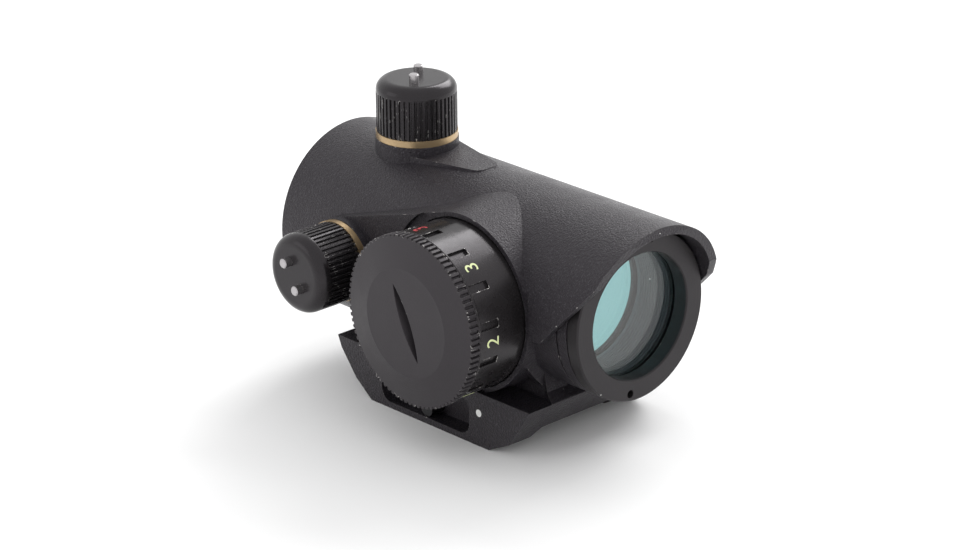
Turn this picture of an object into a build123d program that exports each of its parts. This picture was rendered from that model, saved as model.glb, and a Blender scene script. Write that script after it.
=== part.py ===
from build123d import *
import os
from math import acos, atan2, cos, hypot, radians, sin, tan

# Compact tube red dot sight with a low rail clamp.  Millimetres, +Z up.
# Origin: centre of the rail seat.  The objective looks along -Y, the eyepiece along +Y,
# the brightness dial and the windage turret stand on the -X side.

# ---- clearances -------------------------------------------------------------
RUN = 0.05            # running fit, radial
THREAD = 0.05         # between the two plain cylinders that stand for a thread
SLIP = 0.15           # a piece dropped into a pocket
MOVE = 0.3            # a moving piece beside another body
LAY = 0.02            # two faces that lie on each other on different bodies

# ---- tube and optical axis -----------------------------------------------------
tube_r = 15.15        # outside of the tube
tube_wall = 3.25
bore_r = tube_r - tube_wall
base_top = 5.1        # joint between the tube and the base, above the rail seat
bore_floor = 1.9      # metal between that joint and the bore
axis_h = base_top + bore_floor + bore_r
rear_y = 34.3         # rear rim
hood_y = -34.1        # front edge of the hood, at its top
hood_wall = 1.4
hood_low = -1.9       # lower edge of the hood, below the axis
hood_edges = {        # front edge on each side: brow, shoulder and tip; y, height from the axis
    -1: ((-32.9, 8.3), (-30.0, 4.5), (-24.0, hood_low)),
    1: ((-32.7, 6.1), (-31.1, 3.1), (-26.1, hood_low)),
}
neck_y = -28.2        # front face of the turned neck behind the objective bezel
neck_groove = 0.5     # depth of the groove at each end of the neck
neck_groove_w = 0.3
chin_y = -25.7        # behind this the tube is turned down to the neck's size
step_y = -19.3        # behind this the tube is full round

# ---- bezels, windows --------------------------------------------------------
bezel_thread_r = bore_r + 0.5
bezel_r = bezel_thread_r + 1.0
neck_r = bezel_r - 0.05
bezel_face = 2.1      # thickness of the objective bezel's flange
bezel_thread_len = 3.4
bezel_bevel = 0.2
aperture_r = bore_r - 1.9
window_r = aperture_r + 1.0
window_t = 1.3
window_depth = 2.5    # bezel face to glass
window_seal_t = 0.5
window_seal_lip = 0.2
spanner_hole_r = 0.65
spanner_hole_at = bezel_r - 1.2
spanner_hole_depth = 1.5
spanner_tilt = 80.0   # degrees from +X round the optical axis
rear_bezel_y = rear_y - 0.7   # outer face of the eyepiece bezel
rear_pocket = 2.2     # thickness of the eyepiece bezel's flange
baffle_lip_r = aperture_r + 0.05
baffle_groove_r = baffle_lip_r + 0.12
baffle_pitch = 0.5
baffle_land = 0.3
baffle_rear_y = -19.3
front_face = neck_y - bezel_face

# ---- inner tube and gimbal --------------------------------------------------
inner_front_y = -18.5
inner_rear_y = rear_y - 8.3
gimbal_out_r = bore_r - MOVE
gimbal_in_r = gimbal_out_r - 0.9
inner_r = gimbal_in_r - MOVE
inner_bore_r = inner_r - 1.2
cup_r = bore_r - 2 * MOVE
cup_bore_r = cup_r - 0.8
cup_rear_y = -13.9
lens_r = cup_bore_r - RUN
lens_front_t = 2.0
lens_rear_t = 1.9
lens_middle_t = 2.5   # the front element on the axis
lens_sphere_r = 62.0
retainer_t = 0.6
retainer_r = lens_r - 0.5
lens_front_y = inner_front_y + retainer_t
lens_seat_y = lens_front_y + lens_front_t + lens_rear_t
pivot_y = -11.7
gimbal_w = 3.0
gimbal_pin_r = 0.6
gimbal_pin_out = 0.7
wear_band_r = inner_r + 0.2
wear_band_w = 5.0
leaf_t = 0.3
leaf_in_r = bore_r - leaf_t - 0.1
leaf_angle = 70.0
leaf_w = 6.0

# ---- turrets, distances measured outwards from the optical axis ---------------
turret_y = 18.7
boss_flat = tube_r + 0.05
collar_top = boss_flat + 1.3
brass_top = collar_top + 1.06
cap_r = 6.4
cap_top = brass_top + 8.44
cap_fillet = 1.8
cap_roof = 2.0
flute_count = 48
flute_depth = 0.28
flute_end = 2.0       # flutes stop this far below the top
cap_seal_r = 0.2
seal_ease = 0.03
collar_r = cap_r + 0.2
brass_r = cap_r + 0.1
bush_neck_r = cap_r - 0.85
bush_hole_r = cap_r - 1.2
bush_bore_r = cap_r - 2.1
bush_bottom = bore_r + 0.7
bush_neck_top = brass_top + 3.04
bush_floor = collar_top - 1.9
clip_t = 0.5
clip_at = bush_neck_top - 1.5
clip_out_r = bush_bore_r + 0.3
clip_in_r = bush_bore_r - 0.65
clip_gap = 1.6
adjuster_top = bush_neck_top + 2.0
adjuster_neck_r = clip_in_r - 0.1
adjuster_shoulder = clip_at - 0.1
plunger_r = 1.45
plunger_top = adjuster_shoulder - 0.4
plunger_travel = 0.5
plunger_nose_r = 6.0
plunger_gap = 0.06    # plunger to wear band
click_r = 0.45
click_at = brass_top - 0.51
click_ring_r = bush_bore_r + 0.15     # circle of the click ball's centre
pin_r = 0.78
pin_out = 1.3
pin_in = 1.3
pin_bevel = 0.15
pin_room = 0.08       # round a pin used as a spanner
pin_spacing = 4.6
elevation_pin_angle = 39.0
windage_pin_angle = 33.0
tongue_front_y = 2.2
tongue_rear_w = 5.6
tongue_front_w = 2.2
tongue_wide_y = 16.2

# ---- brightness dial, distances measured outwards along -X --------------------
battery_r = 10.0      # 2032 coin cell
battery_t = 3.2
dial_y = -6.8
dial_z = axis_h - 0.45
dial_wall = 3.3       # dial outside the cell
dial_r = battery_r + dial_wall
dial_boss_r = dial_r + 0.9
dial_boss_root_r = dial_boss_r + 1.0
spotface_r = dial_boss_r + 0.8
dial_pocket_r = dial_r + 0.2
rim_out = tube_r - 0.85       # rim plane of the dial boss
pocket_out = rim_out - 1.1    # floor of the dial pocket
dial_back = rim_out - 0.3
dial_web_back = dial_back + 2.2
dial_web_face = dial_web_back + 2.0
battery_back = dial_web_face + 0.95
dial_face = battery_back + battery_t + 1.35
battery_cavity_r = battery_r + 0.35
grip_count = 14
grip_w = 1.25
grip_len = 3.6
grip_depth = 0.45
dial_lip = 0.25       # height of the bead beside the cap
dial_lip_w = 0.6
dial_lip_bevel = 0.2
dial_turn = 9.4       # first grip slot past the index, degrees
post_r = 2.5
post_bore_r = 1.0
post_flange_r = 4.0
post_flange_t = 0.75
post_stub_r = 1.5
post_stub_len = 0.8
dial_screw_head_r = 3.4
dial_screw_head_t = 0.45
board_r = dial_r - 4.7
board_t = 0.6
wiper_r = 5.2
wiper_t = 0.3
detent_at = dial_r - 2.8      # radius of the detent circle
detent_ball_r = 1.0
detent_stand = 0.7    # ball centre above the pocket floor
detent_hole_len = 4.0
detent_spring_wire = 0.3
contact_r = 7.5
contact_t = 0.2
cap_thread_r = dial_r - 1.75
cap_thread_len = 2.0
cap_thread_bore_len = 2.5
cap_post_r = 4.0
battery_cap_r = dial_r + 0.3
battery_cap_t = 1.6
battery_cap_teeth = 88
tooth_depth = 0.35
crown_r = 8.6         # flat of the cap's crown
crown_rise = 0.9
coin_slot_len = 12.8
coin_slot_w = 2.0
coin_slot_floor_len = 11.3
coin_slot_floor_w = 0.8
coin_slot_depth = 1.4
coin_slot_angle = 24.5        # from the vertical, upper end to the rear
dial_seal_r = 0.4
seal_seat_r = cap_thread_r + 2 * dial_seal_r + 0.1

# ---- base, clamp --------------------------------------------------------------
base_bottom = -3.8
base_side = 15.2      # half width at the sides
base_front = -22.0
base_rear = 21.3
split_x = 11.0        # plane between base and jaw
pedestal_w = 9.4      # half width
foot_step = 0.8       # the base's top stands out this far behind the foot
chin_foot_w = 10.4    # half width where the foot's front meets the base's front edge
chin_mid = (-20.3, base_top + 1.3)    # y, z half way down the foot's hollow front
chin_top = base_top + 4.3
channel_w = 9.3       # half width of the seat
seat_relief = 0.3     # step above the seat, beside it and over the cross bolt
groove_w = 10.8       # half width of the rail groove
lip_w = 9.9           # half width at the gripping lips
groove_upper = -1.5
groove_lower = -2.9
recess_front = -8.8
recess_rear = 11.1
recess_low = -2.75
recess_high = 3.4
recess_depth = 3.0
recess_corner = 2.0
dot_y = -10.9
dot_z = 1.7
dot_r = 0.6
dot_depth = 0.4
jaw_gap = 0.05
guide_r = 1.0
guide_y = 8.4
guide_z = 2.6
guide_in = 5.0        # inner end of a guide pin
guide_out = base_side - 0.8
guide_spring_r = 1.6
guide_spring_wall = 0.4
guide_spring_len = 2.6
bolt_y = 1.15
bolt_z = -1.45
bolt_r = 1.25
bolt_tip = 0.3 - base_side
bolt_head_r = 2.3
bolt_head_len = 2.4
bolt_slot_w = 0.8
bolt_slot_depth = 1.0
mount_screw_r = 1.5
mount_screw_head_r = 2.75
mount_screw_head_t = 1.6
mount_screw_x = 6.5
mount_screw_y = 14.0
mount_screw_low = 0.1
mount_screw_top = base_top + 2.9
mount_socket_r = 1.15

# ---- emitter -------------------------------------------------------------------
emitter_w = 5.0
emitter_h = 2.6
emitter_len = 4.6
emitter_rear_y = inner_rear_y - 1.0
emitter_front_y = emitter_rear_y - emitter_len
led_r = 0.8
led_depth = 0.6       # behind the mask
led_z = axis_h - inner_bore_r + emitter_h * 0.55
mask_r = led_r * 1.4
mask_t = 0.15
mask_hole_r = 0.12
emitter_board_t = 0.6


# ---- plain shapes ------------------------------------------------------------
def rod_x(r, x0, x1, y, z):
    return Pos((x0 + x1) / 2, y, z) * Rot(0, 90, 0) * Cylinder(r, abs(x1 - x0))


def rod_y(r, y0, y1, x=0.0, z=axis_h):
    return Pos(x, (y0 + y1) / 2, z) * Rot(90, 0, 0) * Cylinder(r, abs(y1 - y0))


def rod_z(r, z0, z1, x=0.0, y=0.0):
    return Pos(x, y, (z0 + z1) / 2) * Cylinder(r, abs(z1 - z0))


def ring_y(r_in, r_out, y0, y1):
    return rod_y(r_out, y0, y1) - rod_y(r_in, y0 - 1, y1 + 1)


def ring_z(r_in, r_out, z0, z1):
    return rod_z(r_out, z0, z1) - rod_z(r_in, z0 - 1, z1 + 1)


def block(x0, x1, y0, y1, z0, z1):
    return Pos((x0 + x1) / 2, (y0 + y1) / 2, (z0 + z1) / 2) * Box(x1 - x0, y1 - y0, z1 - z0)


def side_plate(points, x0, x1):
    """A plate across X, from the outline given as y, z points."""
    face = make_face(Polyline(*[(0, y, z) for y, z in points], close=True))
    return Pos(x0, 0, 0) * extrude(face, x1 - x0, dir=(1, 0, 0))


def donut(major, minor, z):
    return Pos(0, 0, z) * Torus(major, minor)


def toothed_disc(r, depth, count, z0, z1):
    """A disc whose rim is cut into equal flat-topped teeth."""
    pitch = 360 / count
    points = []
    for k in range(count):
        for share, radius in ((0.0, r - depth), (0.3, r - depth), (0.42, r), (0.88, r)):
            angle = radians((k + share) * pitch)
            points.append((radius * cos(angle), radius * sin(angle)))
    return Pos(0, 0, z0) * extrude(make_face(Polyline(*points, close=True)), z1 - z0)


def hull_plate(centre_a, r_a, centre_b, r_b, height):
    """Two discs joined by their outer tangents, standing on the XY plane."""
    (ax, ay), (bx, by) = centre_a, centre_b
    gap = hypot(bx - ax, by - ay)
    heading = atan2(by - ay, bx - ax)
    swing = acos((r_a - r_b) / gap)
    points = []
    for centre, radius, side in ((centre_a, r_a, 1), (centre_b, r_b, 1),
                                 (centre_b, r_b, -1), (centre_a, r_a, -1)):
        angle = heading + side * swing
        points.append((centre[0] + radius * cos(angle), centre[1] + radius * sin(angle)))
    web = extrude(make_face(Polyline(*points, close=True)), height)
    return web + rod_z(r_a, 0, height, ax, ay) + rod_z(r_b, 0, height, bx, by)


def on_side(shape):
    """From a frame whose Z runs outwards to the -X side; its X becomes +Z."""
    return Rot(0, -90, 0) * shape


def at_dial(shape):
    """From a frame on the dial's axis, Z outwards, to its place on the sight."""
    return Pos(0, dial_y, dial_z) * on_side(shape)


def at_elevation(shape):
    return Pos(0, turret_y, axis_h) * shape


def at_windage(shape):
    return Pos(0, turret_y, axis_h) * on_side(shape)


turrets = {"elevation": (at_elevation, elevation_pin_angle),
           "windage": (at_windage, windage_pin_angle)}


# ---- housing -------------------------------------------------------------------
def hood():
    """The front of the tube, cut to the hood's outline from each side."""
    top = axis_h + tube_r + 1
    rear = step_y + 6
    plates = []
    for side, (brow, shoulder, tip) in hood_edges.items():
        front = [(y, axis_h + height) for y, height in (brow, shoulder, tip)]
        profile = [(hood_y, top), (hood_y, axis_h + tube_r - 1.6)] + front
        profile += [(rear, axis_h + hood_low), (rear, top)]
        x0, x1 = sorted((0, side * (tube_r + 1)))
        plates.append(side_plate(profile, x0, x1))
    shell = rod_y(tube_r, hood_y, rear - 1) & (plates[0] + plates[1])
    return shell - rod_y(tube_r - hood_wall, hood_y - 1, chin_y)


def top_tongue():
    """Flat land that carries the elevation turret and tapers to the front."""
    height = axis_h + boss_flat
    outline = Polyline((-tongue_front_w, tongue_front_y), (tongue_front_w, tongue_front_y),
                       (tongue_rear_w, tongue_wide_y), (tongue_rear_w, turret_y),
                       (-tongue_rear_w, turret_y), (-tongue_rear_w, tongue_wide_y), close=True)
    land = extrude(make_face(outline), height - axis_h)
    land = fillet(land.edges().filter_by(Axis.Z).group_by(Axis.Y)[0], tongue_front_w * 0.8)
    return Pos(0, 0, axis_h) * land + rod_z(collar_r, axis_h, height, 0, turret_y)


def dial_boss():
    reach = rim_out - 2
    cone = Pos(0, 0, reach / 2 + 2) * Cone(dial_boss_root_r, dial_boss_r, reach)
    return at_dial(cone)


def side_boss():
    """Flat land on the -X side that joins the dial boss to the windage turret."""
    plate = hull_plate((axis_h, turret_y), collar_r, (dial_z, dial_y), dial_boss_r, boss_flat)
    return on_side(plate)


def dial_pocket():
    cut = rod_z(spotface_r, rim_out, boss_flat + 3)
    cut += rod_z(dial_pocket_r, pocket_out, rim_out + 1)
    cut += rod_z(post_stub_r, pocket_out - post_stub_len - 0.1, pocket_out)
    cut += rod_z(detent_ball_r + RUN, pocket_out - detent_hole_len, pocket_out, detent_at, 0)
    return at_dial(cut)


def pedestal():
    """Straight foot under the tube; its front spreads down and out to the base's front edge."""
    rear = base_rear - foot_step
    top = axis_h - bore_r / 2
    profile = [(base_front, base_top), chin_mid, (step_y, chin_top)]
    profile += [(step_y, top), (rear, top), (rear, base_top)]
    plan = Polyline((-chin_foot_w, base_front), (chin_foot_w, base_front), (pedestal_w, step_y),
                    (pedestal_w, rear), (-pedestal_w, rear), (-pedestal_w, step_y), close=True)
    foot = Pos(0, 0, base_top) * extrude(make_face(plan), top - base_top)
    return foot & side_plate(profile, -chin_foot_w, chin_foot_w)


def neck():
    """Turned ring behind the bezel, with a groove at each end, and the bore's wall behind it."""
    ring = rod_y(neck_r, neck_y + neck_groove_w, chin_y - neck_groove_w)
    return ring + rod_y(neck_r - neck_groove, neck_y, chin_y + 1) + rod_y(neck_r, chin_y, step_y + 1)


def housing():
    body = rod_y(tube_r, step_y, rear_y) + hood() + neck()
    body += pedestal()
    body += top_tongue() + side_boss() + dial_boss()
    body += at_elevation(rod_z(collar_r, boss_flat - 2, collar_top))
    body += at_windage(rod_z(collar_r, boss_flat - 2, collar_top))
    body -= rod_y(bore_r, neck_y - 1, rear_y + 1)
    body -= rod_y(bezel_thread_r + THREAD, neck_y - 1, neck_y + bezel_thread_len + 0.2)
    rear_thread = rear_bezel_y - rear_pocket - bezel_thread_len - 0.2
    body -= rod_y(bezel_thread_r + THREAD, rear_thread, rear_y)
    body -= rod_y(bezel_r + THREAD, rear_bezel_y - rear_pocket, rear_y + 1)
    body -= dial_pocket()
    for place, _ in turrets.values():
        body -= place(rod_z(bush_hole_r + LAY, bore_r - 2, collar_top + 1))
    for side in (-1, 1):
        hole = gimbal_pin_r
        body -= rod_x(hole, side * (bore_r - 1), side * (bore_r + gimbal_pin_out), pivot_y, axis_h)
    for x in (-mount_screw_x, mount_screw_x):
        for y in (-mount_screw_y, mount_screw_y):
            body -= rod_z(mount_screw_r, 0, mount_screw_top + 0.3, x, y)
    return body - block(-30, 30, -50, 50, -20, base_top)


# ---- bezels and windows -----------------------------------------------------------
def bezel(face_y, flange, direction):
    """Threaded ring with a spanner-hole flange; direction is +1 where it screws towards +Y."""
    flange_y = face_y + direction * flange
    end_y = flange_y + direction * bezel_thread_len
    window_y = face_y + direction * window_depth
    body = rod_y(bezel_r, face_y, flange_y) + rod_y(bezel_thread_r, flange_y, end_y)
    body -= rod_y(aperture_r, face_y - direction, end_y + direction)
    body -= rod_y(window_r + RUN, window_y, end_y + direction)
    for side in (0, 180):
        angle = radians(spanner_tilt + side)
        x = spanner_hole_at * cos(angle)
        z = axis_h + spanner_hole_at * sin(angle)
        body -= rod_y(spanner_hole_r, face_y - direction, face_y + direction * spanner_hole_depth, x, z)
    rim = body.edges().filter_by(GeomType.CIRCLE).group_by(Axis.Y)[0 if direction > 0 else -1]
    rim = [edge for edge in rim if edge.radius > aperture_r - 0.1 and edge.radius != spanner_hole_r]
    return chamfer(rim, bezel_bevel)


def window(face_y, direction):
    glass_y = face_y + direction * window_depth
    return rod_y(window_r, glass_y, glass_y + direction * window_t)


def window_seal(face_y, direction):
    seal_y = face_y + direction * (window_depth + window_t)
    y0, y1 = sorted((seal_y, seal_y + direction * window_seal_t))
    return ring_y(aperture_r + window_seal_lip, window_r, y0, y1)


def front_baffle():
    """Sleeve behind the objective window, grooved inside to kill glare."""
    start = front_face + window_depth + window_t + window_seal_t
    body = ring_y(baffle_lip_r, window_r, start, baffle_rear_y)
    count = int((baffle_rear_y - start - baffle_land) / baffle_pitch)
    for k in range(count):
        y = start + baffle_land + k * baffle_pitch
        body -= rod_y(baffle_groove_r, y, y + baffle_pitch / 2)
    return body


# ---- inner tube --------------------------------------------------------------------
def inner_tube():
    body = rod_y(inner_r, inner_front_y, inner_rear_y) + rod_y(cup_r, inner_front_y, cup_rear_y)
    body += rod_y(wear_band_r, turret_y - wear_band_w / 2, turret_y + wear_band_w / 2)
    body -= rod_y(inner_bore_r, inner_front_y - 1, inner_rear_y + 1)
    body -= rod_y(cup_bore_r, inner_front_y - 1, lens_seat_y)
    for side in (-1, 1):
        end = axis_h + side * (inner_r + 1)
        body -= rod_z(gimbal_pin_r + RUN, axis_h + side * (inner_r - gimbal_pin_out), end, 0, pivot_y)
    return body


def doublet_sphere():
    """The curved face the two cemented elements share."""
    return Pos(0, lens_front_y + lens_middle_t - lens_sphere_r, axis_h) * Sphere(lens_sphere_r)


def objective_front():
    return rod_y(lens_r, lens_front_y, lens_seat_y) & doublet_sphere()


def objective_rear():
    return rod_y(lens_r, lens_front_y, lens_seat_y) - doublet_sphere()


def objective_retainer():
    return ring_y(retainer_r, lens_r, inner_front_y, lens_front_y)


def gimbal_ring():
    y0 = pivot_y - gimbal_w / 2
    body = ring_y(gimbal_in_r, gimbal_out_r, y0, y0 + gimbal_w)
    for side in (-1, 1):
        inner = side * (gimbal_in_r - 1)
        outer = side * (gimbal_out_r + 1)
        body -= rod_x(gimbal_pin_r + RUN, inner, outer, pivot_y, axis_h)
        body -= rod_z(gimbal_pin_r, axis_h + inner, axis_h + outer, 0, pivot_y)
    return body


def elevation_pivot_pins():
    inner = gimbal_in_r + 0.1
    outer = bore_r + gimbal_pin_out
    return [rod_x(gimbal_pin_r, side * inner, side * outer, pivot_y, axis_h) for side in (-1, 1)]


def windage_pivot_pins():
    inner = inner_r - gimbal_pin_out + 0.1
    outer = gimbal_out_r - 0.05
    return [rod_z(gimbal_pin_r, axis_h + side * inner, axis_h + side * outer, 0, pivot_y)
            for side in (-1, 1)]


def return_spring():
    """Leaf against the bore, opposite the two turrets; it pushes the tube on to the plungers."""
    body = ring_y(leaf_in_r, leaf_in_r + leaf_t, turret_y - leaf_w / 2, turret_y + leaf_w / 2)
    reach = 2 * bore_r
    spread = reach * tan(radians(leaf_angle / 2))
    wedge = make_face(Polyline((0, 0), (reach, spread), (reach, -spread), close=True))
    wedge = Rot(90, 0, 0) * Rot(0, 0, -45) * extrude(wedge, 2 * leaf_w)
    sector = Pos(0, turret_y + leaf_w, axis_h) * wedge
    return body & sector


# ---- emitter -----------------------------------------------------------------------
def emitter_block():
    low = axis_h - inner_bore_r - 1
    body = block(-emitter_w / 2, emitter_w / 2, emitter_front_y, emitter_rear_y,
                 low, axis_h - inner_bore_r + emitter_h)
    body &= rod_y(inner_bore_r, emitter_front_y - 1, emitter_rear_y + 1)
    return body - rod_y(led_r + RUN, emitter_front_y - 1, emitter_rear_y + 1, 0, led_z)


def emitter_mask():
    disc = rod_y(mask_r, emitter_front_y - mask_t, emitter_front_y, 0, led_z)
    return disc - rod_y(mask_hole_r, emitter_front_y - 1, emitter_front_y + 1, 0, led_z)


def emitter_led():
    return rod_y(led_r, emitter_front_y + led_depth, emitter_rear_y, 0, led_z)


def emitter_board():
    body = block(-emitter_w / 2, emitter_w / 2, emitter_rear_y, emitter_rear_y + emitter_board_t,
                 axis_h - inner_bore_r - 1, axis_h - inner_bore_r + emitter_h)
    return body & rod_y(inner_bore_r, emitter_rear_y - 1, emitter_rear_y + 2)


# ---- turret pieces, in the turret's own frame -----------------------------------------
def bushing():
    body = rod_z(bush_hole_r, bush_bottom, collar_top) + rod_z(brass_r, collar_top, brass_top)
    body += rod_z(bush_neck_r, brass_top, bush_neck_top)
    body -= rod_z(bush_bore_r, bush_floor, bush_neck_top + 1)
    body -= rod_z(plunger_r + RUN, bush_bottom - 1, bush_floor)
    body -= rod_z(clip_out_r + RUN, clip_at - RUN, clip_at + clip_t + RUN)
    click_hole = Rot(0, 90, 0) * Cylinder(click_r + RUN, 2.0)
    return body - Pos(bush_bore_r + 0.9, 0, click_at) * click_hole


def retaining_clip():
    ring = ring_z(clip_in_r, clip_out_r, clip_at, clip_at + clip_t)
    return ring - block(0, clip_out_r + 1, -clip_gap / 2, clip_gap / 2, clip_at - 1, clip_at + clip_t + 1)


def pin_places(pin_angle):
    reach = pin_spacing / 2
    return [(reach * cos(radians(pin_angle + side)), reach * sin(radians(pin_angle + side)))
            for side in (0, 180)]


def adjuster(pin_angle):
    body = rod_z(bush_bore_r - RUN, bush_floor + LAY, adjuster_shoulder)
    body += rod_z(adjuster_neck_r, adjuster_shoulder, adjuster_top)
    body -= rod_z(plunger_r + RUN, bush_floor - 1, plunger_top + plunger_travel + MOVE)
    body -= donut(click_ring_r, click_r + RUN, click_at)
    for x, y in pin_places(pin_angle):
        body -= rod_z(pin_r + pin_room, adjuster_top - pin_out - 0.2, adjuster_top + 1, x, y)
    return body


def plunger():
    tip = wear_band_r + plunger_gap
    nose = Pos(0, 0, tip + plunger_nose_r) * Sphere(plunger_nose_r)
    return rod_z(plunger_r, tip, plunger_top) & (nose + rod_z(plunger_r, tip + 1, plunger_top))


def click_ball():
    return Pos(click_ring_r, 0, click_at) * Sphere(click_r)


def click_spring():
    start = click_ring_r + click_r + LAY
    end = bush_bore_r + 1.88
    body = Cylinder(click_r - 0.05, end - start) - Cylinder(click_r - 0.2, end - start + 1)
    return Pos((start + end) / 2, 0, click_at) * Rot(0, 90, 0) * body


def turret_cap(pin_angle):
    bottom = brass_top + LAY
    crown = cap_top - flute_end
    top = rod_z(cap_r, crown, cap_top)
    top = fillet(top.edges().filter_by(GeomType.CIRCLE).group_by(Axis.Z)[-1], cap_fillet)
    body = toothed_disc(cap_r, flute_depth, flute_count, bottom, crown) + top
    body -= rod_z(bush_neck_r + THREAD, bottom - 1, bush_neck_top + 0.5)
    seal_room = 2 * cap_seal_r + 0.1
    body -= rod_z(bush_neck_r + seal_room, bottom - 1, bottom + seal_room)
    body -= rod_z(adjuster_neck_r + MOVE, bush_neck_top, cap_top - cap_roof)
    for x, y in pin_places(pin_angle):
        body -= rod_z(pin_r, cap_top - pin_in, cap_top + 1, x, y)
    return body


def cap_pins(pin_angle):
    pins = []
    for x, y in pin_places(pin_angle):
        pin = rod_z(pin_r, cap_top - pin_in, cap_top + pin_out, x, y)
        pins.append(chamfer(pin.edges().filter_by(GeomType.CIRCLE).group_by(Axis.Z)[-1], pin_bevel))
    return pins


def cap_seal():
    return donut(bush_neck_r + cap_seal_r + seal_ease, cap_seal_r,
                 brass_top + LAY + cap_seal_r + seal_ease)


# ---- brightness dial pieces, in the dial's own frame --------------------------------------
def brightness_dial():
    body = rod_z(dial_r, dial_back, dial_face)
    bead = rod_z(dial_r + dial_lip, dial_face - dial_lip_w, dial_face)
    body += chamfer(bead.edges().filter_by(GeomType.CIRCLE), dial_lip_bevel)
    body -= rod_z(battery_cavity_r, dial_web_face, dial_face + 1)
    body -= rod_z(cap_thread_r + THREAD, dial_face - cap_thread_bore_len, dial_face + 1)
    body -= rod_z(board_r + 0.4, dial_back - 1, dial_web_back)
    body -= rod_z(post_r + RUN, dial_web_back - 1, dial_web_face + 1)
    body -= donut(detent_at, detent_ball_r + 0.1, pocket_out + detent_stand)
    body -= rod_z(seal_seat_r, dial_face - 2 * dial_seal_r - RUN, dial_face + 1)
    notch = rod_z(0.5, dial_back - 1, dial_back + 1.1, detent_at, 0)
    grip = block(dial_r - grip_depth, dial_r + 1, -grip_w / 2, grip_w / 2,
                 dial_face - dial_lip_w - grip_len, dial_face - dial_lip_w)
    for k in range(grip_count):
        body -= Rot(0, 0, 360 / grip_count * (k + 0.5) + dial_turn) * grip
        body -= Rot(0, 0, 360 / grip_count * k) * notch
    return body


def dial_post():
    flange = pocket_out + post_flange_t
    body = rod_z(post_stub_r, pocket_out - post_stub_len, pocket_out)
    body += rod_z(post_flange_r, pocket_out, flange) + rod_z(post_r, flange, dial_web_face + LAY)
    return body - rod_z(post_bore_r, dial_back, dial_web_face + 1)


def dial_screw():
    face = dial_web_face + LAY
    head = rod_z(dial_screw_head_r, face, face + dial_screw_head_t)
    return head + rod_z(post_bore_r, dial_back + 0.2, face)


def switch_board():
    disc = rod_z(board_r, pocket_out, pocket_out + board_t)
    return disc - rod_z(post_flange_r + SLIP, pocket_out - 1, pocket_out + board_t + 1)


def wiper():
    """Sprung contact ring under the dial's web that runs on the switch board."""
    top = dial_web_back
    low = pocket_out + board_t + LAY
    body = ring_z(wiper_r, board_r, top - wiper_t, top)
    for side in (0, 180):
        finger = Pos((wiper_r + board_r) / 2, 0, (low + top) / 2) * Box(0.8, 1.6, top - low)
        body += Rot(0, 0, side) * finger
    return body


def detent_ball():
    return Pos(detent_at, 0, pocket_out + detent_stand) * Sphere(detent_ball_r)


def detent_spring():
    top = pocket_out + detent_stand - detent_ball_r
    outer = detent_ball_r - RUN
    coil = ring_z(outer - detent_spring_wire, outer, pocket_out - detent_hole_len, top)
    return Pos(detent_at, 0, 0) * coil


def battery_contact():
    """Dished ring that presses on the cell's back."""
    low = dial_web_face
    inner = dial_screw_head_r + MOVE
    body = ring_z(inner, contact_r, low, low + contact_t)
    for k in range(3):
        leg = ring_z(0.8, 1.2, low + contact_t, battery_back - LAY)
        leg = Pos((inner + contact_r) / 2, 0, 0) * leg
        body += Rot(0, 0, 120 * k) * leg
    return body


def battery():
    body = rod_z(battery_r, battery_back + 0.4, battery_back + battery_t)
    body = fillet(body.edges().group_by(Axis.Z)[-1], 0.4)
    return body + rod_z(battery_r - 1.2, battery_back, battery_back + 0.5)


def lens_outline(length, width):
    """Boat shape: two arcs that meet at points."""
    half = length / 2
    upper = ThreePointArc((-half, 0), (0, width / 2), (half, 0))
    lower = ThreePointArc((half, 0), (0, -width / 2), (-half, 0))
    return make_face([upper, lower])


def coin_slot(top):
    mouth = Pos(0, 0, top) * lens_outline(coin_slot_len, coin_slot_w)
    floor = Pos(0, 0, top - coin_slot_depth) * lens_outline(coin_slot_floor_len, coin_slot_floor_w)
    return Rot(0, 0, coin_slot_angle) * loft([floor, mouth])


def battery_cap():
    base = dial_face + LAY
    rim = dial_face + battery_cap_t
    crown = rim + crown_rise
    body = toothed_disc(battery_cap_r, tooth_depth, battery_cap_teeth, base, rim)
    dome = Cone(battery_cap_r - tooth_depth, crown_r, crown_rise)
    body += Pos(0, 0, rim + crown_rise / 2) * dome
    body += ring_z(battery_r + 0.4, cap_thread_r, dial_face - cap_thread_len, base)
    body += rod_z(cap_post_r, battery_back + battery_t + LAY, base)
    return body - coin_slot(crown)


def battery_cap_seal():
    return donut(cap_thread_r + dial_seal_r + seal_ease, dial_seal_r, dial_face - dial_seal_r)


# ---- base and clamp ----------------------------------------------------------------
base_outline = [(base_front, base_top), (-17.6, -1.5), (-13.0, base_bottom), (13.6, base_bottom),
                (17.2, -1.0), (20.5, 3.2), (base_rear, base_top)]


def clamp_section(side, x_from):
    """Outline in X and Z of the room for the rail on one side."""
    return [(x_from, -9), (side * lip_w, -9), (side * lip_w, base_bottom),
            (side * groove_w, groove_lower), (side * groove_w, groove_upper),
            (side * channel_w, 0), (x_from, 0)]


def along_y(points, y0, y1):
    face = make_face(Polyline(*[(x, y0, z) for x, z in points], close=True))
    return extrude(face, y1 - y0, dir=(0, 1, 0))


def recess():
    body = block(-base_side - 1, -base_side + recess_depth, recess_front, recess_rear,
                 recess_low, recess_high)
    return fillet(body.edges().filter_by(Axis.X), recess_corner)


def seat_reliefs():
    """Steps that leave the seat as two lands, one before and one behind the cross bolt."""
    over_bolt = bolt_r + seat_relief
    across = block(-channel_w - 1, split_x + 1, bolt_y - over_bolt, bolt_y + over_bolt, -1, seat_relief)
    return across + block(channel_w, split_x + 1, -40, 40, -1, seat_relief)


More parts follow.
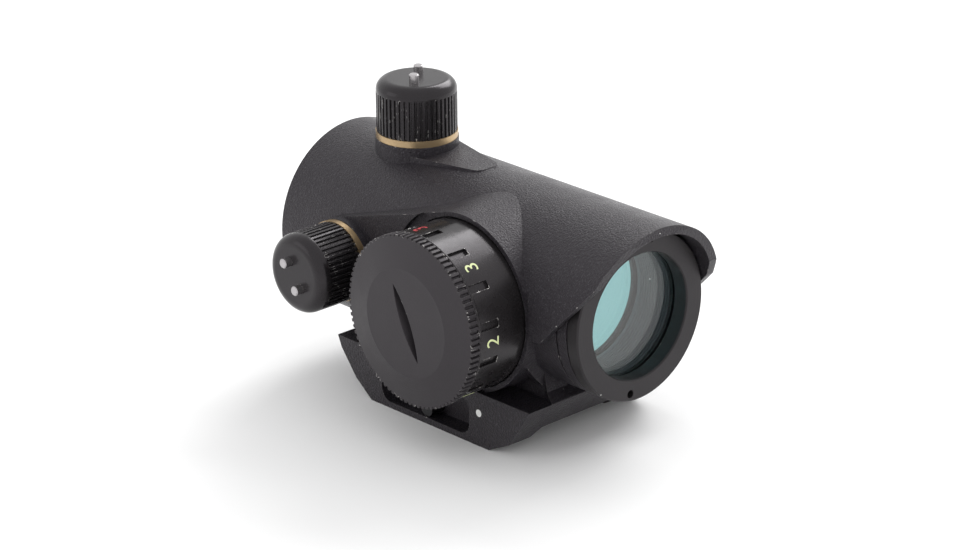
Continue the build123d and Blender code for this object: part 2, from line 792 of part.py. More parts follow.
def mount_base():
    body = side_plate(base_outline, -base_side, split_x)
    body -= along_y(clamp_section(-1, 0), -40, 40)
    body -= block(-1, split_x + 1, -40, 40, -9, 0)
    body -= seat_reliefs()
    body -= recess()
    body -= at_dial(rod_z(dial_pocket_r, pocket_out, 30))
    body -= rod_x(dot_r, -base_side - 1, -base_side + dot_depth, dot_y, dot_z)
    body -= rod_x(bolt_r + THREAD, -base_side - 1, -groove_w + 2, bolt_y, bolt_z)
    for side in (-1, 1):
        body -= rod_x(guide_r, guide_in, split_x + 1, side * guide_y, guide_z)
        spring_room = guide_spring_r + RUN
        body -= rod_x(spring_room, split_x - guide_spring_len, split_x + 1, side * guide_y, guide_z)
    for x in (-mount_screw_x, mount_screw_x):
        for y in (-mount_screw_y, mount_screw_y):
            body -= rod_z(mount_screw_r + 0.1, -1, base_top + 1, x, y)
            body -= rod_z(mount_screw_head_r + SLIP, -1, mount_screw_head_t + 0.1, x, y)
    return body


def mount_screws():
    screws = []
    for x in (-mount_screw_x, mount_screw_x):
        for y in (-mount_screw_y, mount_screw_y):
            low = mount_screw_low
            body = rod_z(mount_screw_head_r, low, low + mount_screw_head_t, x, y)
            body += rod_z(mount_screw_r, low, mount_screw_top, x, y)
            socket = Pos(x, y, low) * extrude(RegularPolygon(mount_socket_r, 6), 1.0)
            screws.append(body - socket)
    return screws


def index_dot():
    return rod_x(dot_r, -base_side, -base_side + dot_depth, dot_y, dot_z)


def clamp_jaw():
    inner = split_x + jaw_gap
    body = side_plate(base_outline, inner, base_side)
    foot = along_y([(lip_w, base_bottom), (groove_w, groove_lower), (inner + 1, groove_lower),
                    (inner + 1, base_bottom)], -40, 40)
    body += foot & side_plate(base_outline, 0, base_side)
    body -= rod_x(bolt_r + 0.1, inner - 1, base_side + 1, bolt_y, bolt_z)
    for side in (-1, 1):
        body -= rod_x(guide_r + RUN, inner - 1, guide_out + 0.3, side * guide_y, guide_z)
    return body


def jaw_guide_pins():
    return [rod_x(guide_r, guide_in, guide_out, side * guide_y, guide_z) for side in (-1, 1)]


def jaw_springs():
    low = split_x - guide_spring_len
    springs = []
    for side in (-1, 1):
        tube = rod_x(guide_spring_r, low, split_x, side * guide_y, guide_z)
        bore = rod_x(guide_spring_r - guide_spring_wall, low - 1, split_x + 1, side * guide_y, guide_z)
        springs.append(tube - bore)
    return springs


def clamp_screw():
    head = base_side + LAY
    body = rod_x(bolt_r, bolt_tip, head, bolt_y, bolt_z)
    cap = rod_x(bolt_head_r, head, head + bolt_head_len, bolt_y, bolt_z)
    cap = chamfer(cap.edges().filter_by(GeomType.CIRCLE).group_by(Axis.X)[-1], 0.3)
    end = head + bolt_head_len
    slot = block(end - bolt_slot_depth, end + 1, bolt_y - bolt_slot_w / 2, bolt_y + bolt_slot_w / 2,
                 bolt_z - bolt_head_r - 1, bolt_z + bolt_head_r + 1)
    return body + cap - slot


# ---- write every piece ----------------------------------------------------------------
def pieces():
    parts = {
        "housing": housing(),
        "front_bezel": bezel(front_face, bezel_face, 1),
        "front_window": window(front_face, 1),
        "front_window_seal": window_seal(front_face, 1),
        "front_baffle": front_baffle(),
        "rear_bezel": bezel(rear_bezel_y, rear_pocket, -1),
        "rear_window": window(rear_bezel_y, -1),
        "rear_window_seal": window_seal(rear_bezel_y, -1),
        "inner_tube": inner_tube(),
        "objective_front": objective_front(),
        "objective_rear": objective_rear(),
        "objective_retainer": objective_retainer(),
        "gimbal_ring": gimbal_ring(),
        "elevation_pivot_pins": elevation_pivot_pins(),
        "windage_pivot_pins": windage_pivot_pins(),
        "return_spring": return_spring(),
        "emitter_block": emitter_block(),
        "emitter_mask": emitter_mask(),
        "emitter_led": emitter_led(),
        "emitter_board": emitter_board(),
        "brightness_dial": at_dial(brightness_dial()),
        "dial_post": at_dial(dial_post()),
        "dial_screw": at_dial(dial_screw()),
        "switch_board": at_dial(switch_board()),
        "wiper": at_dial(wiper()),
        "detent_ball": at_dial(detent_ball()),
        "detent_spring": at_dial(detent_spring()),
        "battery_contact": at_dial(battery_contact()),
        "battery": at_dial(battery()),
        "battery_cap": at_dial(battery_cap()),
        "battery_cap_seal": at_dial(battery_cap_seal()),
        "mount_base": mount_base(),
        "mount_screws": mount_screws(),
        "index_dot": index_dot(),
        "clamp_jaw": clamp_jaw(),
        "jaw_guide_pins": jaw_guide_pins(),
        "jaw_springs": jaw_springs(),
        "clamp_screw": clamp_screw(),
    }
    for name, (place, pin_angle) in turrets.items():
        parts[name + "_bushing"] = place(bushing())
        parts[name + "_clip"] = place(retaining_clip())
        parts[name + "_adjuster"] = place(adjuster(pin_angle))
        parts[name + "_plunger"] = place(plunger())
        parts[name + "_click_ball"] = place(click_ball())
        parts[name + "_click_spring"] = place(click_spring())
        parts[name + "_cap"] = place(turret_cap(pin_angle))
        parts[name + "_cap_pins"] = [place(pin) for pin in cap_pins(pin_angle)]
        parts[name + "_cap_seal"] = place(cap_seal())
    return parts


os.makedirs("parts", exist_ok=True)
for node, shape in pieces().items():
    solid = Compound(children=list(shape)) if isinstance(shape, (list, ShapeList)) else shape
    export_step(solid, os.path.join("parts", node + ".step"))
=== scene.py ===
import math

import bmesh
import bpy
import numpy as np
from mathutils import Matrix, Vector


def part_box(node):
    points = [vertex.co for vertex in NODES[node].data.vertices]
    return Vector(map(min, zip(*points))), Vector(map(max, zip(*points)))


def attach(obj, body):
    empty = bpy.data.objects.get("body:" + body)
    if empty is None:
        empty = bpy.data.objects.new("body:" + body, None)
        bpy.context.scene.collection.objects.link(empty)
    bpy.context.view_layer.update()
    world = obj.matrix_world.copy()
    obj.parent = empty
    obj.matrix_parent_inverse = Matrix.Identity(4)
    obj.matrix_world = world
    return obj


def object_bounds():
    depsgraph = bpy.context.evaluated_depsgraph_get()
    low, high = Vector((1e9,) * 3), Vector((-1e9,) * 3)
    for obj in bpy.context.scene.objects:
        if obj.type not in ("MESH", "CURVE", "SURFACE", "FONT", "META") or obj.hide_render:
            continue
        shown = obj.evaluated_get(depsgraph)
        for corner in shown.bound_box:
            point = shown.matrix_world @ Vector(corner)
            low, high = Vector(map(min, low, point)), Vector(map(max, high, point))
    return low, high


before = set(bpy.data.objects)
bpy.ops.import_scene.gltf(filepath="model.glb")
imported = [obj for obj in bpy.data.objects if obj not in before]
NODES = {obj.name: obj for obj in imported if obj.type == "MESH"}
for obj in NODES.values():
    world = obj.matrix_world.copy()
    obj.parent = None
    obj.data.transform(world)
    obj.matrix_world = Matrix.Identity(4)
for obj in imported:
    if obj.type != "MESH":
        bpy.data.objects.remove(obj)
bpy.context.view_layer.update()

MM = 0.001


# ---- places taken from the frame -------------------------------------------------
def middle(node):
    low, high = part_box(node)
    return (low + high) / 2


OPTICAL_AXIS = Vector((0, 0, middle("front_bezel").z))
DIAL_AXIS = middle("brightness_dial")
ELEVATION_AXIS = middle("elevation_cap_seal")
WINDAGE_AXIS = middle("windage_cap_seal")
ALONG_X, ALONG_Y, ALONG_Z = (1, 0, 0), (0, 1, 0), (0, 0, 1)


# ---- shader helpers ----------------------------------------------------------------
def add_node(tree, kind, settings=(), **sockets):
    """A shader node with its settings and its input values or links."""
    made = tree.nodes.new(kind)
    for key, value in dict(settings).items():
        setattr(made, key, value)
    for key, value in sockets.items():
        feed(tree, made.inputs[key.replace("_", " ")], value)
    return made


def feed(tree, socket, value):
    """Links a socket, or sets its plain value."""
    if isinstance(value, bpy.types.NodeSocket):
        tree.links.new(value, socket)
    elif isinstance(value, (tuple, list)) and len(value) == 3 and socket.type == "RGBA":
        socket.default_value = (*value, 1)
    else:
        socket.default_value = value


def arithmetic(tree, operation, a, b=0.0, clamp=False):
    made = tree.nodes.new("ShaderNodeMath")
    made.operation = operation
    made.use_clamp = clamp
    feed(tree, made.inputs[0], a)
    feed(tree, made.inputs[1], b)
    return made.outputs[0]


def vector_arithmetic(tree, operation, a, b=(0, 0, 0)):
    made = tree.nodes.new("ShaderNodeVectorMath")
    made.operation = operation
    feed(tree, made.inputs[0], a)
    feed(tree, made.inputs[1], b)
    return made.outputs["Value" if operation in ("DOT_PRODUCT", "LENGTH") else "Vector"]


def steps(tree, value, low, high, out_low=0.0, out_high=1.0):
    """Eases a value from one range to another, held at both ends."""
    made = tree.nodes.new("ShaderNodeMapRange")
    made.interpolation_type = "SMOOTHSTEP"
    for key, given in zip((0, 1, 2, 3, 4), (value, low, high, out_low, out_high)):
        feed(tree, made.inputs[key], given)
    return made.outputs[0]


def blend_colours(tree, share, a, b):
    made = tree.nodes.new("ShaderNodeMix")
    made.data_type = "RGBA"
    feed(tree, made.inputs[0], share)
    feed(tree, made.inputs[6], a)
    feed(tree, made.inputs[7], b)
    return made.outputs[2]


def new_group(name, inputs, outputs):
    """An empty shader group; inputs are name: (kind, value), outputs are name: kind."""
    group = bpy.data.node_groups.new(name, "ShaderNodeTree")
    for label, (kind, value) in inputs.items():
        socket = group.interface.new_socket(label, in_out="INPUT", socket_type="NodeSocket" + kind)
        socket.default_value = value
    for label, kind in outputs.items():
        group.interface.new_socket(label, in_out="OUTPUT", socket_type="NodeSocket" + kind)
    return group, group.nodes.new("NodeGroupInput").outputs, group.nodes.new("NodeGroupOutput").inputs


def place_group(tree, group, **sockets):
    made = tree.nodes.new("ShaderNodeGroup")
    made.node_tree = group
    for key, value in sockets.items():
        feed(tree, made.inputs[key.replace("_", " ")], value)
    return made.outputs


# ---- shared effects -----------------------------------------------------------------
def blasted_grain_group():
    """Fine bead-blast pits, a slow mottle over the surface and sparse pale flecks of painted glint."""
    group, given, out = new_group("blasted grain", {"Pits per mm": ("Float", 5.0)},
                                  {"Height": "Float", "Mottle": "Float", "Painted glint": "Float"})
    place = add_node(group, "ShaderNodeTexCoord").outputs["Object"]
    scale = arithmetic(group, "MULTIPLY", given["Pits per mm"], 1 / MM)
    pits = add_node(group, "ShaderNodeTexNoise", Vector=place, Scale=scale, Detail=3.0, Roughness=0.6)
    mottle = add_node(group, "ShaderNodeTexNoise", Vector=place, Scale=0.22 / MM, Detail=3.0, Roughness=0.55)
    # painted glint: sparse pale specks stand in for the sparkle of light on the blasted grain
    painted_glint = add_node(group, "ShaderNodeTexNoise", Vector=place, Scale=5.5 / MM, Detail=2.0, Roughness=0.6)
    feed(group, out["Height"], pits.outputs[0])
    feed(group, out["Mottle"], mottle.outputs[0])
    feed(group, out["Painted glint"], steps(group, painted_glint.outputs[0], 0.55, 0.7))
    return group


def worn_edge_group():
    """Bright where a convex edge is within reach and a patchy noise lets the wear through."""
    group, given, out = new_group("worn edge", {"Reach": ("Float", 0.2 * MM), "Patchy": ("Float", 0.5)},
                                  {"Mask": "Float", "Edge": "Float"})
    place = add_node(group, "ShaderNodeTexCoord").outputs["Object"]
    inner = add_node(group, "ShaderNodeAmbientOcclusion", {"inside": True, "only_local": True, "samples": 8},
                     Distance=given["Reach"])
    edge = steps(group, inner.outputs["AO"], 0.92, 0.45)
    patch = add_node(group, "ShaderNodeTexNoise", Vector=place, Scale=0.9 / MM, Detail=4.0, Roughness=0.62)
    threshold = arithmetic(group, "MULTIPLY_ADD", given["Patchy"], 0.3)
    threshold.node.inputs[2].default_value = 0.4
    chips = steps(group, arithmetic(group, "SUBTRACT", patch.outputs[0], threshold), 0.0, 0.06)
    feed(group, out["Mask"], arithmetic(group, "MULTIPLY", edge, chips))
    feed(group, out["Edge"], edge)
    return group


def dust_group():
    """Sparse pale specks: a cell shows one where its random value is above the share left clean."""
    group, given, out = new_group("dust", {"Specks per mm": ("Float", 0.6), "Clean": ("Float", 0.9)},
                                  {"Mask": "Float"})
    place = add_node(group, "ShaderNodeTexCoord").outputs["Object"]
    scale = arithmetic(group, "MULTIPLY", given["Specks per mm"], 1 / MM)
    cells = add_node(group, "ShaderNodeTexVoronoi", {"feature": "F1"}, Vector=place, Scale=scale)
    chosen = add_node(group, "ShaderNodeSeparateColor", Color=cells.outputs["Color"])
    shown = arithmetic(group, "GREATER_THAN", chosen.outputs[0], given["Clean"])
    size = arithmetic(group, "MULTIPLY", chosen.outputs[1], 0.1)
    speck = arithmetic(group, "LESS_THAN", cells.outputs["Distance"], size)
    feed(group, out["Mask"], arithmetic(group, "MULTIPLY", shown, speck))
    return group


def turning_group():
    """Lathe marks: one-dimensional noise of the distance from the work's axis."""
    group, given, out = new_group(
        "turning marks",
        {"Centre": ("Vector", (0, 0, 0)), "Axis": ("Vector", (0, 0, 1)), "Marks per mm": ("Float", 6.0)},
        {"Height": "Float"})
    place = add_node(group, "ShaderNodeTexCoord").outputs["Object"]
    arm = vector_arithmetic(group, "SUBTRACT", place, given["Centre"])
    along = vector_arithmetic(group, "DOT_PRODUCT", arm, given["Axis"])
    lift = add_node(group, "ShaderNodeVectorMath", {"operation": "SCALE"})
    feed(group, lift.inputs[0], given["Axis"])
    feed(group, lift.inputs["Scale"], along)
    radius = vector_arithmetic(group, "LENGTH", vector_arithmetic(group, "SUBTRACT", arm, lift.outputs[0]))
    spread = arithmetic(group, "ADD", radius, along)
    turns = arithmetic(group, "MULTIPLY", spread, given["Marks per mm"])
    turns = arithmetic(group, "MULTIPLY", turns, 1 / MM)
    marks = add_node(group, "ShaderNodeTexNoise", {"noise_dimensions": "1D"}, W=turns, Scale=1.0, Detail=2.0,
                     Roughness=0.6)
    feed(group, out["Height"], marks.outputs[0])
    return group


GRAIN = blasted_grain_group()
WEAR = worn_edge_group()
DUST = dust_group()
TURNING = turning_group()


# ---- materials ------------------------------------------------------------------------
ANODISED_GLOSS = 0.36
ANODISED_TINT = (1.0, 0.93, 0.99, 1)
CHIP_REACH = 0.16 * MM
# painted reflection: a teal colour the lens emits in place of the light its coating throws back
LENS_PAINTED_REFLECTION_COLOUR = (0.25, 0.52, 0.53, 1)
LENS_PAINTED_REFLECTION_STRENGTH = 0.8


def start_material(name, **sockets):
    """A material with one Principled shader, wired to its output."""
    material = bpy.data.materials.new(name)
    material.use_nodes = True
    tree = material.node_tree
    tree.nodes.clear()
    shader = add_node(tree, "ShaderNodeBsdfPrincipled", **sockets)
    add_node(tree, "ShaderNodeOutputMaterial", Surface=shader.outputs[0])
    return material, tree, shader


def lay_bumps(tree, shader, heights, edge_radius):
    """Chains bumps, given as (height, depth), on top of softly rounded edges."""
    normal = add_node(tree, "ShaderNodeBevel", {"samples": 4}, Radius=edge_radius).outputs[0]
    for height, depth in heights:
        bump = add_node(tree, "ShaderNodeBump", Height=height, Distance=depth, Normal=normal)
        normal = bump.outputs[0]
    feed(tree, shader.inputs["Normal"], normal)


def anodised(name, base, rough, pits=5.0, depth=0.012 * MM, wear=0.5, dust=0.975, marks=None, mark_depth=0.0,
             edge_radius=0.12 * MM, painted_glint=0.05, metal=(0.62, 0.6, 0.58)):
    """Black anodised aluminium: blasted or turned, with bright worn edges, a little dust and pale flecks
    painted in for the glints of its grain.
    """
    material, tree, shader = start_material(name)
    shader.inputs["Specular IOR Level"].default_value = ANODISED_GLOSS
    shader.inputs["Specular Tint"].default_value = ANODISED_TINT
    grain = place_group(tree, GRAIN, Pits_per_mm=pits)
    worn = place_group(tree, WEAR, Reach=CHIP_REACH, Patchy=wear)
    specks = place_group(tree, DUST, Clean=dust)["Mask"]
    lighter = tuple(channel * 1.6 + 0.004 for channel in base)
    tone = blend_colours(tree, arithmetic(tree, "MULTIPLY", grain["Mottle"], 0.5), base, lighter)
    # painted glint: pale grey flecks in the base colour stand in for glints off the blasted grain
    tone = blend_colours(tree, arithmetic(tree, "MULTIPLY", grain["Painted glint"], painted_glint), tone, (0.12, 0.12, 0.13))
    tone = blend_colours(tree, arithmetic(tree, "MULTIPLY", worn["Edge"], 0.2), tone, (0.08, 0.075, 0.075))
    tone = blend_colours(tree, worn["Mask"], tone, metal)
    tone = blend_colours(tree, specks, tone, (0.7, 0.7, 0.68))
    feed(tree, shader.inputs["Base Color"], tone)
    feed(tree, shader.inputs["Metallic"], arithmetic(tree, "MULTIPLY", worn["Mask"], 0.8))
    shine = steps(tree, grain["Mottle"], 0.25, 0.75, rough - 0.05, rough + 0.06)
    feed(tree, shader.inputs["Roughness"], shine)
    heights = [(grain["Height"], depth)]
    if marks:
        centre, axis, per_mm = marks
        lathe = place_group(tree, TURNING, Centre=tuple(centre), Axis=axis, Marks_per_mm=per_mm)
        heights.append((lathe["Height"], mark_depth))
    lay_bumps(tree, shader, heights, edge_radius)
    return material


def bare_metal(name, base, rough, marks=None, mark_depth=0.01 * MM, stain=0.25):
    """Uncoated metal with a fine grain, a slow stain and, where asked, lathe marks."""
    material, tree, shader = start_material(name, Metallic=1.0)
    grain = place_group(tree, GRAIN, Pits_per_mm=3.0)
    darker = tuple(channel * 0.55 for channel in base)
    tone = blend_colours(tree, arithmetic(tree, "MULTIPLY", grain["Mottle"], stain * 2), base, darker)
    feed(tree, shader.inputs["Base Color"], tone)
    feed(tree, shader.inputs["Roughness"], steps(tree, grain["Mottle"], 0.2, 0.8, rough - 0.06, rough + 0.12))
    heights = [(grain["Height"], 0.005 * MM)]
    if marks:
        centre, axis, per_mm = marks
        lathe = place_group(tree, TURNING, Centre=tuple(centre), Axis=axis, Marks_per_mm=per_mm)
        heights.append((lathe["Height"], mark_depth))
    lay_bumps(tree, shader, heights, 0.05 * MM)
    return material


def dull_coat(name, base, rough, pits=4.0, depth=0.02 * MM, variation=0.5):
    """Rubber, lacquer, paint or board: one colour with a grain and a slow change of tone."""
    material, tree, shader = start_material(name)
    grain = place_group(tree, GRAIN, Pits_per_mm=pits)
    lighter = tuple(min(1.0, channel * 1.4 + 0.01) for channel in base)
    tone = blend_colours(tree, arithmetic(tree, "MULTIPLY", grain["Mottle"], variation), base, lighter)
    feed(tree, shader.inputs["Base Color"], tone)
    feed(tree, shader.inputs["Roughness"], steps(tree, grain["Mottle"], 0.2, 0.8, rough - 0.05, rough + 0.1))
    lay_bumps(tree, shader, [(grain["Height"], depth)], 0.04 * MM)
    return material


def clear_window():
    """Clear glass with faint wipe marks in its gloss."""
    material, tree, shader = start_material("clear window glass", Metallic=0.0, IOR=1.45)
    shader.inputs["Transmission Weight"].default_value = 1.0
    shader.inputs["Base Color"].default_value = (0.97, 0.99, 0.98, 1)
    grain = place_group(tree, GRAIN, Pits_per_mm=0.5)
    feed(tree, shader.inputs["Roughness"], steps(tree, grain["Mottle"], 0.45, 0.8, 0.0, 0.05))
    return material


def coated_lens():
    """The coated element behind the window; its teal emission is a painted reflection, a glow in place of the
    light its coating throws back.
    """
    material, tree, shader = start_material("teal coated lens", Metallic=0.75, IOR=1.6)
    shader.inputs["Coat Weight"].default_value = 1.0
    shader.inputs["Coat Roughness"].default_value = 0.02
    # painted reflection: the lens glows teal though it is no lamp
    shader.inputs["Emission Color"].default_value = LENS_PAINTED_REFLECTION_COLOUR
    shader.inputs["Emission Strength"].default_value = LENS_PAINTED_REFLECTION_STRENGTH
    shader.inputs["Roughness"].default_value = 0.12
    grain = place_group(tree, GRAIN, Pits_per_mm=0.5)
    tone = blend_colours(tree, steps(tree, grain["Mottle"], 0.3, 0.7), (0.5, 0.88, 0.89), (0.56, 0.92, 0.93))
    feed(tree, shader.inputs["Base Color"], tone)
    return material


def studio_floor():
    """Matt, nearly white paper."""
    material, tree, shader = start_material("pale studio floor", Roughness=0.9)
    shader.inputs["Base Color"].default_value = (0.93, 0.93, 0.93, 1)
    shader.inputs["Specular IOR Level"].default_value = 0.1
    return material


# ---- finishes of the CAD nodes -----------------------------------------------------
BODY = anodised("matte body anodising", (0.0115, 0.0098, 0.0125), 0.36, pits=3.2, depth=0.2 * MM, wear=0.72,
                painted_glint=0.45)
BEZEL = anodised("turned bezel anodising", (0.008, 0.0072, 0.0076), 0.4, pits=3.0, depth=0.006 * MM,
                 wear=0.75, marks=(OPTICAL_AXIS, ALONG_Y, 5.0), mark_depth=0.012 * MM, painted_glint=0.03)
BATTERY_CAP = anodised("satin battery cap anodising", (0.016, 0.014, 0.016), 0.42, pits=4.0, depth=0.008 * MM,
                       wear=0.6, dust=0.95, marks=(DIAL_AXIS, ALONG_X, 4.0), mark_depth=0.01 * MM, painted_glint=0.04)
DIAL = anodised("polished dial anodising", (0.010, 0.009, 0.0095), 0.24, pits=2.0, depth=0.004 * MM,
                wear=0.45, marks=(DIAL_AXIS, ALONG_X, 7.0), mark_depth=0.006 * MM, painted_glint=0.05)
ELEVATION_CAP = anodised("satin turret cap anodising", (0.008, 0.0072, 0.0078), 0.22, pits=3.0,
                         depth=0.006 * MM, wear=0.6, marks=(ELEVATION_AXIS, ALONG_Z, 5.0),
                         mark_depth=0.01 * MM, painted_glint=0.03)
WINDAGE_CAP = anodised("satin side cap anodising", (0.008, 0.0072, 0.0078), 0.22, pits=3.0, depth=0.006 * MM,
                       wear=0.6, marks=(WINDAGE_AXIS, ALONG_X, 5.0), mark_depth=0.01 * MM, painted_glint=0.03)
INNER = anodised("dull inner anodising", (0.012, 0.012, 0.013), 0.6, wear=0.9, dust=0.98,
                 marks=(OPTICAL_AXIS, ALONG_Y, 3.0), mark_depth=0.02 * MM, painted_glint=0.15)
BAFFLE = anodised("grooved baffle anodising", (0.07, 0.068, 0.075), 0.45, wear=0.95, dust=0.97,
                  marks=(OPTICAL_AXIS, ALONG_Y, 3.0), mark_depth=0.015 * MM, painted_glint=0.03)
ELEVATION_BRASS = bare_metal("turned brass", (0.52, 0.38, 0.22), 0.32, marks=(ELEVATION_AXIS, ALONG_Z, 8.0))
WINDAGE_BRASS = bare_metal("turned side brass", (0.52, 0.38, 0.22), 0.32, marks=(WINDAGE_AXIS, ALONG_X, 8.0))
DIAL_BRASS = bare_metal("turned post brass", (0.76, 0.54, 0.24), 0.3, marks=(DIAL_AXIS, ALONG_X, 8.0))
BRONZE = bare_metal("sprung bronze", (0.72, 0.45, 0.25), 0.34)
STEEL = bare_metal("bright steel", (0.5, 0.48, 0.49), 0.26)
CELL_STEEL = bare_metal("cell steel", (0.66, 0.66, 0.65), 0.3, marks=(DIAL_AXIS, ALONG_X, 6.0))
SPRING = bare_metal("spring steel", (0.45, 0.45, 0.47), 0.32)
BLACK_STEEL = bare_metal("blackened steel", (0.07, 0.07, 0.072), 0.38)
RUBBER = dull_coat("black nitrile", (0.018, 0.018, 0.018), 0.6)
BOARD = dull_coat("green board lacquer", (0.02, 0.12, 0.05), 0.35, depth=0.01 * MM)
FOIL = dull_coat("black foil", (0.02, 0.02, 0.02), 0.4)
LAMP = dull_coat("red lamp lens", (0.5, 0.02, 0.015), 0.15, depth=0.002 * MM)
WHITE_PAINT = dull_coat("white paint", (0.8, 0.8, 0.78), 0.4, depth=0.01 * MM, variation=0.3)
PALE_NUMERAL = dull_coat("pale green numeral paint", (0.62, 0.68, 0.36), 0.5, variation=0.6)
RED_NUMERAL = dull_coat("red numeral paint", (0.42, 0.02, 0.03), 0.5, variation=0.6)
WINDOW = clear_window()
LENS = coated_lens()

FINISHES = {
    BODY: ["housing", "mount_base", "clamp_jaw"],
    BEZEL: ["front_bezel", "rear_bezel"],
    WINDOW: ["front_window", "rear_window"],
    LENS: ["objective_front", "objective_rear"],
    INNER: ["inner_tube", "gimbal_ring", "objective_retainer", "emitter_block"],
    BAFFLE: ["front_baffle"],
    BATTERY_CAP: ["battery_cap"],
    DIAL: ["brightness_dial"],
    ELEVATION_CAP: ["elevation_cap"],
    WINDAGE_CAP: ["windage_cap"],
    ELEVATION_BRASS: ["elevation_bushing", "elevation_adjuster"],
    WINDAGE_BRASS: ["windage_bushing", "windage_adjuster"],
    DIAL_BRASS: ["dial_post"],
    BRONZE: ["wiper", "battery_contact"],
    STEEL: ["elevation_pivot_pins", "windage_pivot_pins", "detent_ball", "elevation_click_ball",
            "windage_click_ball", "elevation_cap_pins", "windage_cap_pins", "jaw_guide_pins"],
    CELL_STEEL: ["battery"],
    SPRING: ["return_spring", "detent_spring", "elevation_clip", "windage_clip", "elevation_click_spring",
             "windage_click_spring", "jaw_springs"],
    BLACK_STEEL: ["dial_screw", "mount_screws", "clamp_screw", "elevation_plunger", "windage_plunger"],
    RUBBER: ["front_window_seal", "rear_window_seal", "battery_cap_seal", "elevation_cap_seal",
             "windage_cap_seal"],
    BOARD: ["switch_board", "emitter_board"],
    FOIL: ["emitter_mask"],
    LAMP: ["emitter_led"],
    WHITE_PAINT: ["index_dot"],
}


def dress(node, material):
    slots = NODES[node].data.materials
    slots.clear()
    slots.append(material)


for finish, members in FINISHES.items():
    for member in members:
        dress(member, finish)


# ---- new pieces ------------------------------------------------------------------------
def piece_from(name, points, faces, material, body):
    """A finished mesh object at the origin that rides on a body."""
    mesh = bpy.data.meshes.new(name)
    mesh.from_pydata(points.tolist(), [], faces)
    mesh.materials.append(material)
    made = bpy.data.objects.new(name, mesh)
    bpy.context.scene.collection.objects.link(made)
    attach(made, body)
    return made


# ---- numerals on the dial
DIAL_LIP = 0.25 * MM            # the bead beside the cap stands this far off the drum
NUMERAL_HEIGHT = 2.35 * MM
NUMERAL_STAND = 0.015 * MM
NUMERAL_THICK = 0.04 * MM
NUMERAL_MIDDLE = 2.9 * MM       # from the dial's outer face to the numeral's middle
FIRST_NUMERAL = math.radians(92.5)
NUMERAL_STEP = math.radians(360 / 7)
NUMERALS = ((PALE_NUMERAL, "2"), (PALE_NUMERAL, "3"), (RED_NUMERAL, "3"), (RED_NUMERAL, "2"),
            (RED_NUMERAL, "1"), (PALE_NUMERAL, "0"), (PALE_NUMERAL, "1"))


def glyph_mesh(character):
    """A character's flat outline, filled and cut into small triangles, centred at the origin."""
    curve = bpy.data.curves.new("glyph", "FONT")
    curve.body = character
    curve.resolution_u = 5
    made = bpy.data.objects.new("glyph", curve)
    bpy.context.scene.collection.objects.link(made)
    bpy.context.view_layer.update()
    mesh = bpy.data.meshes.new_from_object(made.evaluated_get(bpy.context.evaluated_depsgraph_get()))
    bpy.data.objects.remove(made)
    work = bmesh.new()
    work.from_mesh(mesh)
    bmesh.ops.remove_doubles(work, verts=work.verts, dist=1e-5)
    bmesh.ops.triangulate(work, faces=work.faces)
    bmesh.ops.subdivide_edges(work, edges=work.edges, cuts=1)
    bmesh.ops.triangulate(work, faces=work.faces)
    points = np.array([vertex.co[:] for vertex in work.verts])
    work.verts.index_update()
    faces = [tuple(vertex.index for vertex in face.verts) for face in work.faces]
    border = [tuple(loop.vert.index for loop in (edge.link_loops[0], edge.link_loops[0].link_loop_next))
              for edge in work.edges if len(edge.link_faces) == 1]
    work.free()
    low, high = points.min(0), points.max(0)
    return (points - (low + high) / 2) * (NUMERAL_HEIGHT / (high[1] - low[1])), faces, border


def numeral(index, character, paint):
    """Wraps a glyph on the drum: its height runs along the dial's axis, its width round it."""
    points, faces, border = glyph_mesh(character)
    low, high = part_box("brightness_dial")
    drum_r = (high.z - low.z) / 2 - DIAL_LIP
    middle_x = low.x + NUMERAL_MIDDLE
    round_angle = FIRST_NUMERAL - index * NUMERAL_STEP - points[:, 0] / drum_r
    shells = []
    for radius in (drum_r - NUMERAL_THICK, drum_r + NUMERAL_STAND):
        shells.append(np.stack([middle_x - points[:, 1],
                                DIAL_AXIS.y - radius * np.sin(round_angle),
                                DIAL_AXIS.z + radius * np.cos(round_angle)], 1))
    count = len(points)
    solid = [tuple(reversed(face)) for face in faces]
    solid += [tuple(vertex + count for vertex in face) for face in faces]
    solid += [(a, b, b + count, a + count) for a, b in border]
    name = f"dial_numeral_{index}"
    return piece_from(name, np.concatenate(shells), solid, paint, "brightness_dial")


for index, (paint, character) in enumerate(NUMERALS):
    numeral(index, character, paint)


# ---- studio --------------------------------------------------------------------------
FLOOR_HALF = 3.0
WORLD_STRENGTH = 1.05
LIGHT_AIM = Vector((0, 0, 0.015))


def lay_floor():
    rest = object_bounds()[0][2]
    points = [(sx * FLOOR_HALF, sy * FLOOR_HALF, rest) for sx, sy in ((-1, -1), (1, -1), (1, 1), (-1, 1))]
    mesh = bpy.data.meshes.new("studio_floor")
    mesh.from_pydata(points, [], [(0, 1, 2, 3)])
    mesh.materials.append(studio_floor())
    made = bpy.data.objects.new("studio_floor", mesh)
    bpy.context.scene.collection.objects.link(made)


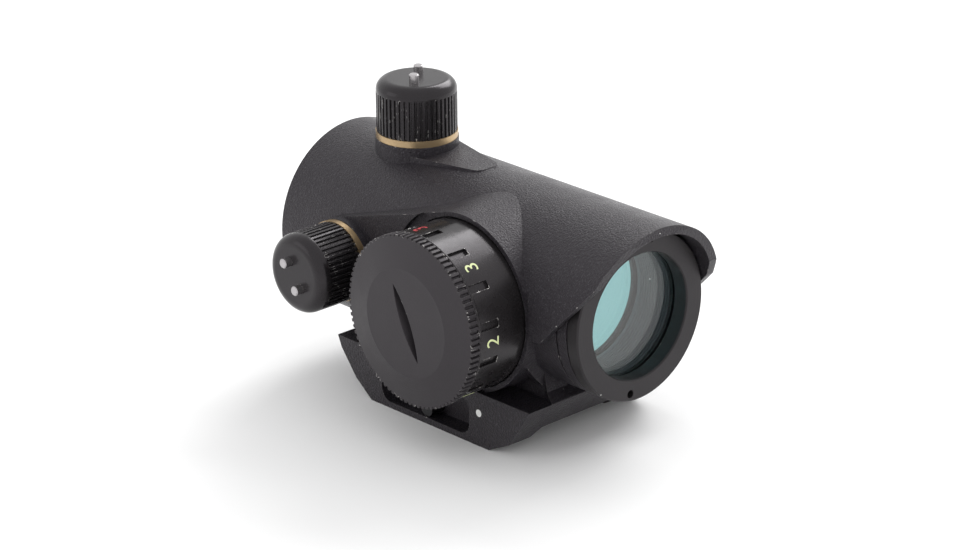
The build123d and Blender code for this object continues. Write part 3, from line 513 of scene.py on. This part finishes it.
def softbox(name, place, size, watts, aim=LIGHT_AIM):
    light = bpy.data.lights.new(name, "AREA")
    light.shape = "RECTANGLE"
    light.size, light.size_y = size
    light.energy = watts
    made = bpy.data.objects.new(name, light)
    made.location = place
    made.rotation_euler = (aim - Vector(place)).to_track_quat("-Z", "Y").to_euler()
    bpy.context.scene.collection.objects.link(made)


def light_studio():
    world = bpy.data.worlds.new("white studio")
    world.use_nodes = True
    tree = world.node_tree
    tree.nodes.clear()
    sky = add_node(tree, "ShaderNodeBackground", Color=(1.0, 1.0, 1.0), Strength=WORLD_STRENGTH)
    add_node(tree, "ShaderNodeOutputWorld", Surface=sky.outputs[0])
    bpy.context.scene.world = world
    bpy.context.scene.view_settings.view_transform = "Standard"
    softbox("right softbox", (0.60, 0.14, 0.52), (0.5, 0.4), 3.6)
    softbox("left softbox", (-0.60, 0.35, 0.25), (0.4, 0.35), 0.3)


VIEW_TARGET = Vector((-2.73, -0.3, 17.82)) * MM
VIEW_DISTANCE = 550 * MM
VIEW_TURN = math.radians(-43.5)
VIEW_RISE = math.radians(21.88)
VIEW_ROLL = math.radians(-0.47)
LENS_MM = 130.85


def place_camera():
    """A camera on a sphere round the target, with its own small roll."""
    back = Vector((math.sin(VIEW_TURN) * math.cos(VIEW_RISE), -math.cos(VIEW_TURN) * math.cos(VIEW_RISE),
                   math.sin(VIEW_RISE)))
    level = Vector((math.cos(VIEW_TURN), math.sin(VIEW_TURN), 0))
    upright = back.cross(level)
    right = level * math.cos(VIEW_ROLL) + upright * math.sin(VIEW_ROLL)
    up = upright * math.cos(VIEW_ROLL) - level * math.sin(VIEW_ROLL)
    lens = bpy.data.cameras.new("studio camera")
    lens.sensor_width = 36
    lens.lens = LENS_MM
    made = bpy.data.objects.new("studio camera", lens)
    made.matrix_world = Matrix((right, up, back)).transposed().to_4x4()
    made.location = VIEW_TARGET + back * VIEW_DISTANCE
    bpy.context.scene.collection.objects.link(made)
    bpy.context.scene.camera = made


lay_floor()
light_studio()
place_camera()
